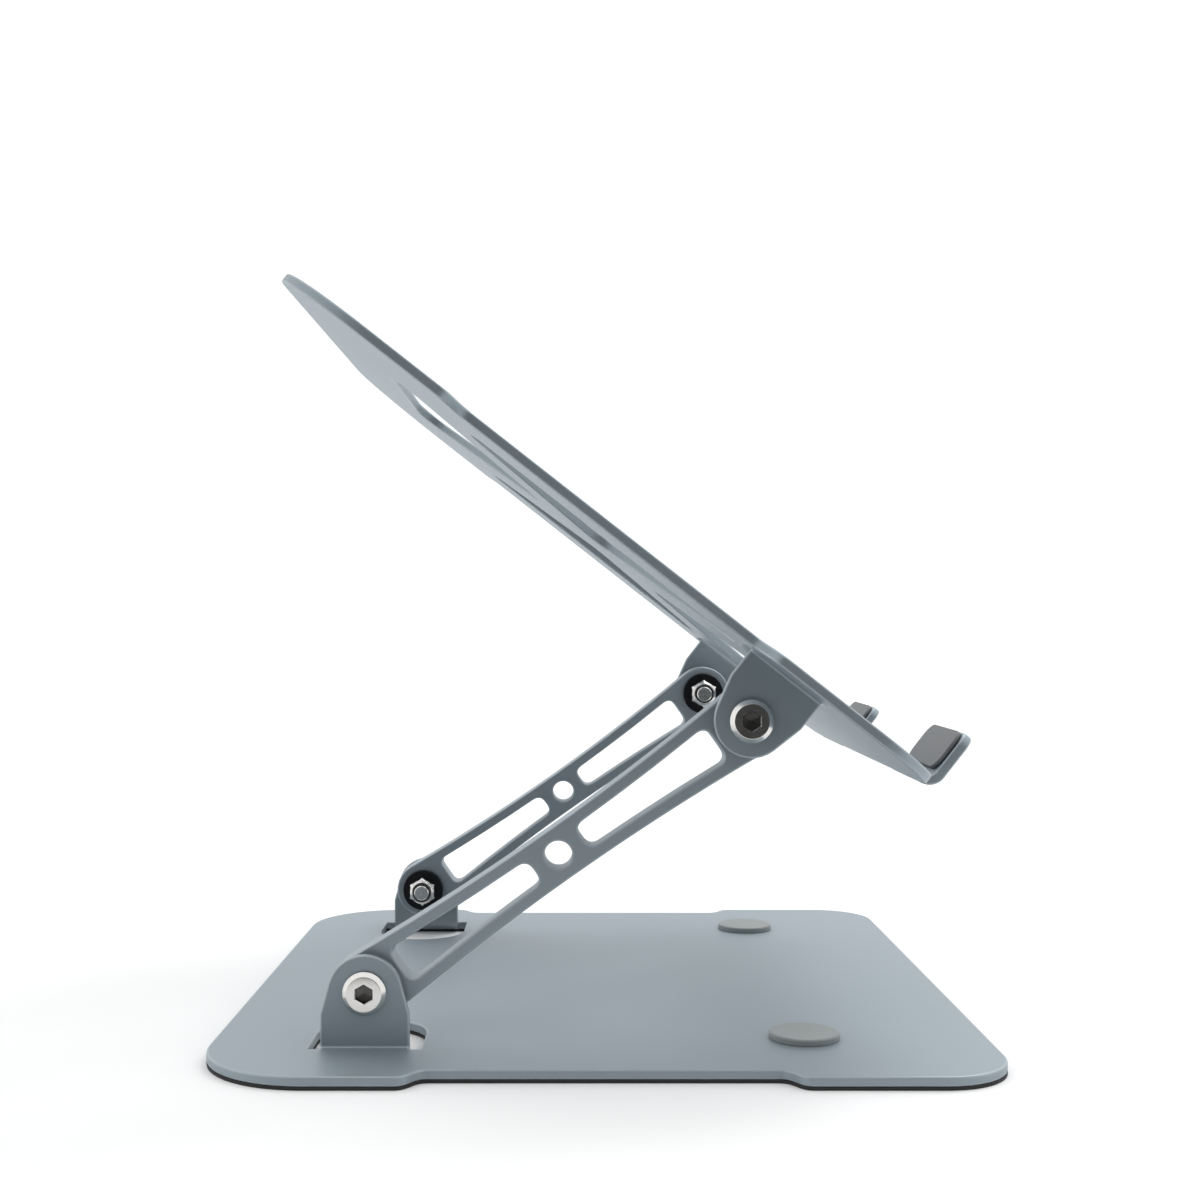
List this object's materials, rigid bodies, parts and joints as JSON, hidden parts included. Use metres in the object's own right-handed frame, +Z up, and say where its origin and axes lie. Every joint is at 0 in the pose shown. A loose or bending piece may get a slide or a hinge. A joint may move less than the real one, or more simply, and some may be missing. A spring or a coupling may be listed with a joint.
{
  "type": "laptop stand",
  "caption": "Folding laptop stand: flat base with rubber mat, slotted swing arms on friction pivots, and a tilting tray with triangular vents, an X brace and front hooks.",
  "frame": {"origin": "centre of the rubber mat's underside, on the desk", "axes": "+X towards the user and the tray's hooks, +Y towards the user's right, +Z up"},
  "size_m": [0.24, 0.255, 0.2411],
  "materials": {
    "sheet_paint": "blue-grey powder coat, satin, over aluminium sheet",
    "arm_paint": "blue-grey powder coat, satin, over milled aluminium",
    "bright_steel": "bright zinc or nickel plate, turned faces",
    "black_steel": "black oxide, satin",
    "washer_plastic": "self-lubricating black plastic, matt",
    "nylon": "nylon locking ring, matt",
    "silicone": "grey silicone, matt",
    "rubber": "black rubber sheet, matt"
  },
  "bodies": {
    "base": {"base_plate": "sheet_paint", "base_mat": "rubber", "fold_pad_left": "silicone", "lower_bolt_left": "bright_steel", "lower_friction_washer_left": "washer_plastic", "lower_backing_washer_left": "black_steel", "lower_lock_nut_left": "bright_steel", "lower_nut_insert_left": "nylon", "fold_pad_right": "silicone", "lower_bolt_right": "bright_steel", "lower_friction_washer_right": "washer_plastic", "lower_backing_washer_right": "black_steel", "lower_lock_nut_right": "bright_steel", "lower_nut_insert_right": "nylon"},
    "arms": {"left_arm": "arm_paint", "right_arm": "arm_paint"},
    "upper_pivots": {"upper_bolt_left": "bright_steel", "upper_friction_washer_left": "washer_plastic", "upper_backing_washer_left": "black_steel", "upper_lock_nut_left": "bright_steel", "upper_nut_insert_left": "nylon", "upper_bolt_right": "bright_steel", "upper_friction_washer_right": "washer_plastic", "upper_backing_washer_right": "black_steel", "upper_lock_nut_right": "bright_steel", "upper_nut_insert_right": "nylon"},
    "tray": {"tray_plate": "sheet_paint", "hook_pad_left": "silicone", "tray_pad_rear_left": "silicone", "tray_pad_front_left": "silicone", "hook_pad_right": "silicone", "tray_pad_rear_right": "silicone", "tray_pad_front_right": "silicone"}
  },
  "joints": [
    {"name": "arm_lift", "type": "hinge", "parent": "base", "child": "arms", "pos_m": [-0.072, 0, 0.0206], "axis": [0, -1, 0], "range_deg": [-34.1, 50]},
    {"name": "levelling", "type": "hinge", "parent": "arms", "child": "upper_pivots", "pos_m": [0.04532, 0, 0.10306], "axis": [0, -1, 0], "range_deg": [-50, 34.1]},
    {"name": "tray_tilt", "type": "hinge", "parent": "upper_pivots", "child": "tray", "pos_m": [0.04532, 0, 0.10306], "axis": [0, -1, 0], "range_deg": [0, 38.1]}
  ],
  "couplings": [
    {"joint": "levelling", "follows": "arm_lift", "ratio": -1}
  ]
}
